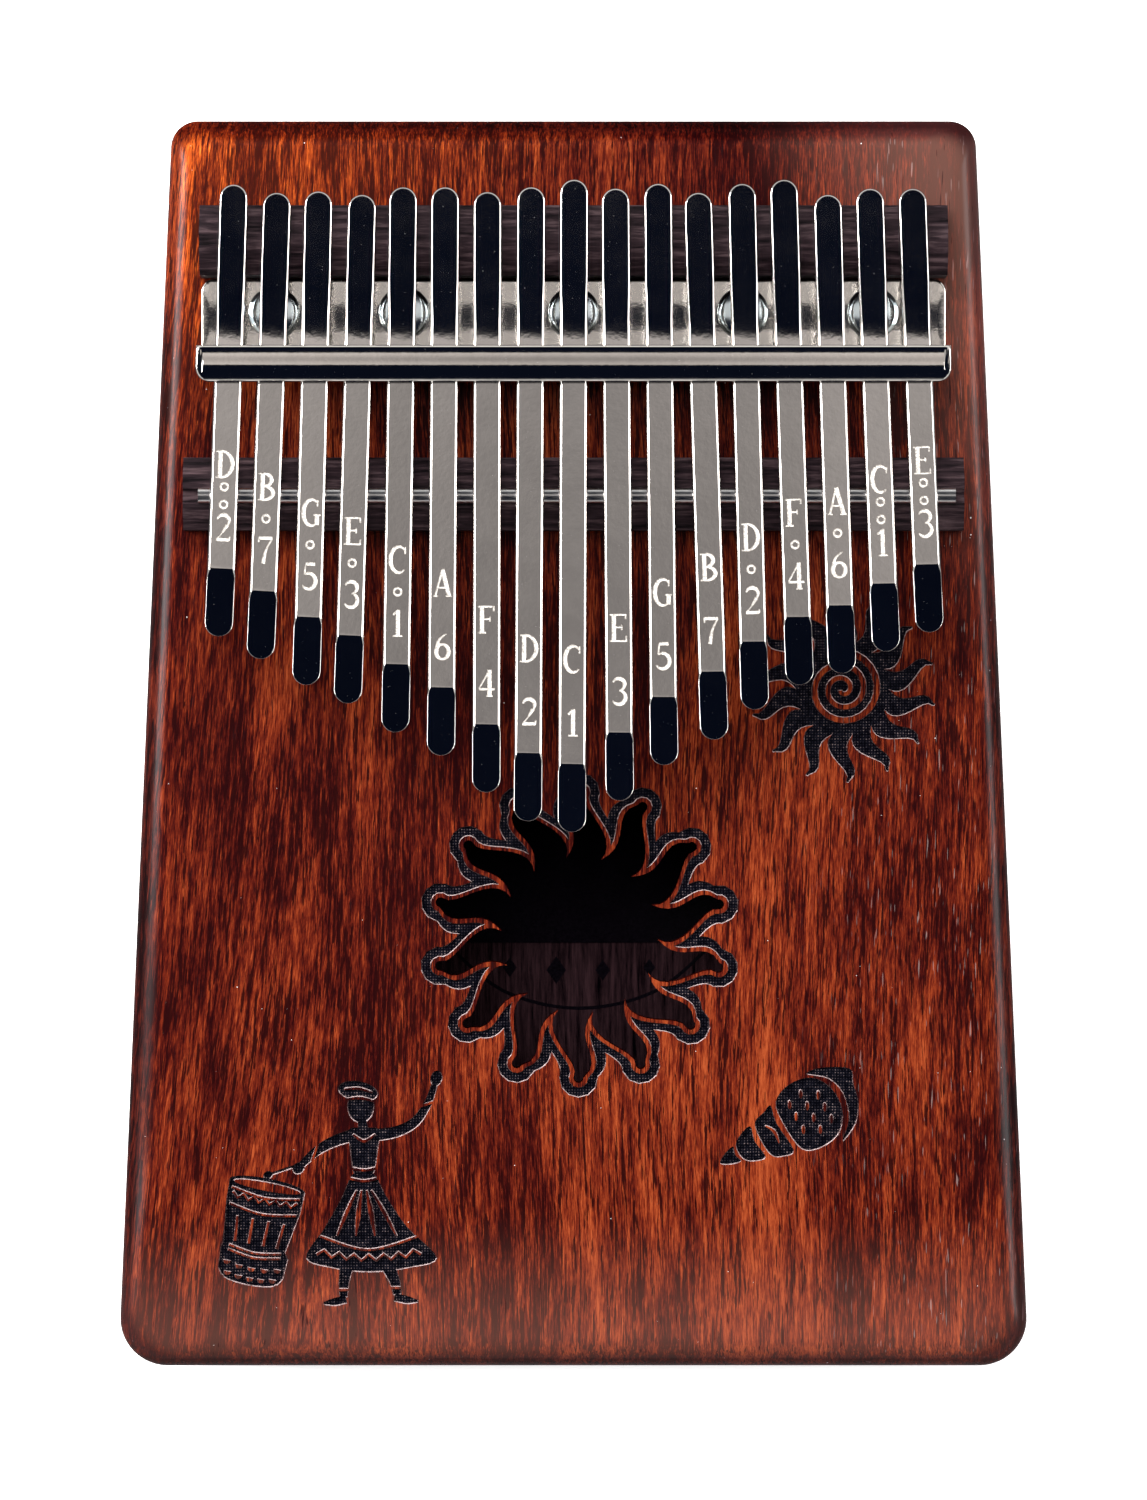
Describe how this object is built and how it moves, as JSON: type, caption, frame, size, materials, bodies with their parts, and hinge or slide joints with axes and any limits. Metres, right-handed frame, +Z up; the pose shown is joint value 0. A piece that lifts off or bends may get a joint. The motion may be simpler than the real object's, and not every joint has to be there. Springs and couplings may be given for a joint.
{
  "type": "mbira",
  "caption": "Box mbira (kalimba): a tapered hollow wooden box with a sun-shaped sound hole and steel tines held over two bridges by a bolted pressure bar.",
  "frame": {"origin": "middle of the underside of the box (the overall bounding box's bottom centre)", "axes": "+Z up out of the soundboard, +Y along the tines from the player's end to the far end, +X to the player's right"},
  "size_m": [0.1348, 0.185, 0.0336],
  "materials": {
    "soundboard": "glossy red-brown hardwood",
    "box_sides": "glossy dark red-brown hardwood",
    "back_board": "glossy dark red-brown hardwood",
    "inner_block": "raw softwood",
    "label": "matt black sticker",
    "bridges": "oiled dark wood",
    "rod_steel": "bright steel",
    "nickel_plate": "polished nickel plate",
    "zinc_plate": "bright zinc plate",
    "tine_steel": "polished nickel-plated spring steel"
  },
  "bodies": {
    "box": {"soundboard": "soundboard", "side_left": "box_sides", "side_right": "box_sides", "end_front": "box_sides", "end_rear": "box_sides", "back_board": "back_board", "screw_block": "inner_block", "inner_label": "label", "rear_bridge": "bridges", "front_bridge": "bridges", "bridge_rod": "rod_steel", "pressure_bracket": "nickel_plate", "bracket_screws": "zinc_plate"},
    "tine_d6": {"tine_d6_tail": "tine_steel"},
    "free_d6": {"tine_d6_blade": "tine_steel"},
    "tine_b5": {"tine_b5_tail": "tine_steel"},
    "free_b5": {"tine_b5_blade": "tine_steel"},
    "tine_g5": {"tine_g5_tail": "tine_steel"},
    "free_g5": {"tine_g5_blade": "tine_steel"},
    "tine_e5": {"tine_e5_tail": "tine_steel"},
    "free_e5": {"tine_e5_blade": "tine_steel"},
    "tine_c5": {"tine_c5_tail": "tine_steel"},
    "free_c5": {"tine_c5_blade": "tine_steel"},
    "tine_a4": {"tine_a4_tail": "tine_steel"},
    "free_a4": {"tine_a4_blade": "tine_steel"},
    "tine_f4": {"tine_f4_tail": "tine_steel"},
    "free_f4": {"tine_f4_blade": "tine_steel"},
    "tine_d4": {"tine_d4_tail": "tine_steel"},
    "free_d4": {"tine_d4_blade": "tine_steel"},
    "tine_c4": {"tine_c4_tail": "tine_steel"},
    "free_c4": {"tine_c4_blade": "tine_steel"},
    "tine_e4": {"tine_e4_tail": "tine_steel"},
    "free_e4": {"tine_e4_blade": "tine_steel"},
    "tine_g4": {"tine_g4_tail": "tine_steel"},
    "free_g4": {"tine_g4_blade": "tine_steel"},
    "tine_b4": {"tine_b4_tail": "tine_steel"},
    "free_b4": {"tine_b4_blade": "tine_steel"},
    "tine_d5": {"tine_d5_tail": "tine_steel"},
    "free_d5": {"tine_d5_blade": "tine_steel"},
    "tine_f5": {"tine_f5_tail": "tine_steel"},
    "free_f5": {"tine_f5_blade": "tine_steel"},
    "tine_a5": {"tine_a5_tail": "tine_steel"},
    "free_a5": {"tine_a5_blade": "tine_steel"},
    "tine_c6": {"tine_c6_tail": "tine_steel"},
    "free_c6": {"tine_c6_blade": "tine_steel"},
    "tine_e6": {"tine_e6_tail": "tine_steel"},
    "free_e6": {"tine_e6_blade": "tine_steel"}
  },
  "joints": [
    {"name": "tune_d6", "type": "slide", "parent": "box", "child": "tine_d6", "axis": [-0.0332, -0.9995, 0], "range_m": [-0.0015, 0.0015]},
    {"name": "pluck_d6", "type": "hinge", "parent": "tine_d6", "child": "free_d6", "pos_m": [-0.0513, 0.03577, 0.02953], "axis": [0.9995, -0.0332, 0], "range_deg": [-3, 3], "stiffness_Nm_per_rad": 7.4},
    {"name": "tune_b5", "type": "slide", "parent": "box", "child": "tine_b5", "axis": [-0.0349, -0.9994, 0], "range_m": [-0.0015, 0.0015]},
    {"name": "pluck_b5", "type": "hinge", "parent": "tine_b5", "child": "free_b5", "pos_m": [-0.045, 0.03577, 0.02953], "axis": [0.9994, -0.0349, 0], "range_deg": [-3.5, 3.5], "stiffness_Nm_per_rad": 6.36},
    {"name": "tune_g5", "type": "slide", "parent": "box", "child": "tine_g5", "axis": [-0.0244, -0.9997, 0], "range_m": [-0.0015, 0.0015]},
    {"name": "pluck_g5", "type": "hinge", "parent": "tine_g5", "child": "free_g5", "pos_m": [-0.03847, 0.03577, 0.02953], "axis": [0.9997, -0.0244, 0], "range_deg": [-4.1, 4.1], "stiffness_Nm_per_rad": 5.47},
    {"name": "tune_e5", "type": "slide", "parent": "box", "child": "tine_e5", "axis": [-0.0279, -0.9996, 0], "range_m": [-0.0015, 0.0015]},
    {"name": "pluck_e5", "type": "hinge", "parent": "tine_e5", "child": "free_e5", "pos_m": [-0.0322, 0.03577, 0.02953], "axis": [0.9996, -0.0279, 0], "range_deg": [-4.5, 4.5], "stiffness_Nm_per_rad": 4.98},
    {"name": "tune_c5", "type": "slide", "parent": "box", "child": "tine_c5", "axis": [-0.014, -0.9999, 0], "range_m": [-0.0015, 0.0015]},
    {"name": "pluck_c5", "type": "hinge", "parent": "tine_c5", "child": "free_c5", "pos_m": [-0.0256, 0.03576, 0.02953], "axis": [0.9999, -0.014, 0], "range_deg": [-5, 5], "stiffness_Nm_per_rad": 4.37},
    {"name": "tune_a4", "type": "slide", "parent": "box", "child": "tine_a4", "axis": [-0.007, -1, 0], "range_m": [-0.0015, 0.0015]},
    {"name": "pluck_a4", "type": "hinge", "parent": "tine_a4", "child": "free_a4", "pos_m": [-0.01913, 0.03576, 0.02953], "axis": [1, -0.007, 0], "range_deg": [-4.5, 4.5], "stiffness_Nm_per_rad": 3.97},
    {"name": "tune_f4", "type": "slide", "parent": "box", "child": "tine_f4", "axis": [-0.0017, -1, 0], "range_m": [-0.0015, 0.0015]},
    {"name": "pluck_f4", "type": "hinge", "parent": "tine_f4", "child": "free_f4", "pos_m": [-0.01269, 0.03576, 0.02953], "axis": [1, -0.0017, 0], "range_deg": [-4, 4], "stiffness_Nm_per_rad": 3.48},
    {"name": "tune_d4", "type": "slide", "parent": "box", "child": "tine_d4", "axis": [-0.0052, -1, 0], "range_m": [-0.0015, 0.0015]},
    {"name": "pluck_d4", "type": "hinge", "parent": "tine_d4", "child": "free_d4", "pos_m": [-0.00643, 0.03576, 0.02953], "axis": [1, -0.0052, 0], "range_deg": [-3.6, 3.6], "stiffness_Nm_per_rad": 3.17},
    {"name": "tune_c4", "type": "slide", "parent": "box", "child": "tine_c4", "axis": [-0.0035, -1, 0], "range_m": [-0.0015, 0.0015]},
    {"name": "pluck_c4", "type": "hinge", "parent": "tine_c4", "child": "free_c4", "pos_m": [-0.00007, 0.03576, 0.02953], "axis": [1, -0.0035, 0], "range_deg": [-3.5, 3.5], "stiffness_Nm_per_rad": 3.06},
    {"name": "tune_e4", "type": "slide", "parent": "box", "child": "tine_e4", "axis": [0.007, -1, 0], "range_m": [-0.0015, 0.0015]},
    {"name": "pluck_e4", "type": "hinge", "parent": "tine_e4", "child": "free_e4", "pos_m": [0.00647, 0.03576, 0.02953], "axis": [1, 0.007, 0], "range_deg": [-3.8, 3.8], "stiffness_Nm_per_rad": 3.38},
    {"name": "tune_g4", "type": "slide", "parent": "box", "child": "tine_g4", "axis": [0.0105, -0.9999, 0], "range_m": [-0.0015, 0.0015]},
    {"name": "pluck_g4", "type": "hinge", "parent": "tine_g4", "child": "free_g4", "pos_m": [0.01287, 0.03576, 0.02953], "axis": [0.9999, 0.0105, 0], "range_deg": [-4.4, 4.4], "stiffness_Nm_per_rad": 3.83},
    {"name": "tune_b4", "type": "slide", "parent": "box", "child": "tine_b4", "axis": [0.0297, -0.9996, 0], "range_m": [-0.0015, 0.0015]},
    {"name": "pluck_b4", "type": "hinge", "parent": "tine_b4", "child": "free_b4", "pos_m": [0.01958, 0.03577, 0.02953], "axis": [0.9996, 0.0297, 0], "range_deg": [-4.8, 4.8], "stiffness_Nm_per_rad": 4.23},
    {"name": "tune_d5", "type": "slide", "parent": "box", "child": "tine_d5", "axis": [0.0244, -0.9997, 0], "range_m": [-0.0015, 0.0015]},
    {"name": "pluck_d5", "type": "hinge", "parent": "tine_d5", "child": "free_d5", "pos_m": [0.02581, 0.03577, 0.02953], "axis": [0.9997, 0.0244, 0], "range_deg": [-4.7, 4.7], "stiffness_Nm_per_rad": 4.84},
    {"name": "tune_f5", "type": "slide", "parent": "box", "child": "tine_f5", "axis": [0.0314, -0.9995, 0], "range_m": [-0.0015, 0.0015]},
    {"name": "pluck_f5", "type": "hinge", "parent": "tine_f5", "child": "free_f5", "pos_m": [0.03227, 0.03577, 0.02953], "axis": [0.9995, 0.0314, 0], "range_deg": [-4.1, 4.1], "stiffness_Nm_per_rad": 5.47},
    {"name": "tune_a5", "type": "slide", "parent": "box", "child": "tine_a5", "axis": [0.0297, -0.9996, 0], "range_m": [-0.0015, 0.0015]},
    {"name": "pluck_a5", "type": "hinge", "parent": "tine_a5", "child": "free_a5", "pos_m": [0.03857, 0.03577, 0.02953], "axis": [0.9996, 0.0297, 0], "range_deg": [-3.9, 3.9], "stiffness_Nm_per_rad": 5.84},
    {"name": "tune_c6", "type": "slide", "parent": "box", "child": "tine_c6", "axis": [0.0349, -0.9994, 0], "range_m": [-0.0015, 0.0015]},
    {"name": "pluck_c6", "type": "hinge", "parent": "tine_c6", "child": "free_c6", "pos_m": [0.045, 0.03577, 0.02953], "axis": [0.9994, 0.0349, 0], "range_deg": [-3.4, 3.4], "stiffness_Nm_per_rad": 6.67},
    {"name": "tune_e6", "type": "slide", "parent": "box", "child": "tine_e6", "axis": [0.0384, -0.9993, 0], "range_m": [-0.0015, 0.0015]},
    {"name": "pluck_e6", "type": "hinge", "parent": "tine_e6", "child": "free_e6", "pos_m": [0.0514, 0.03578, 0.02953], "axis": [0.9993, 0.0384, 0], "range_deg": [-2.9, 2.9], "stiffness_Nm_per_rad": 7.62}
  ]
}
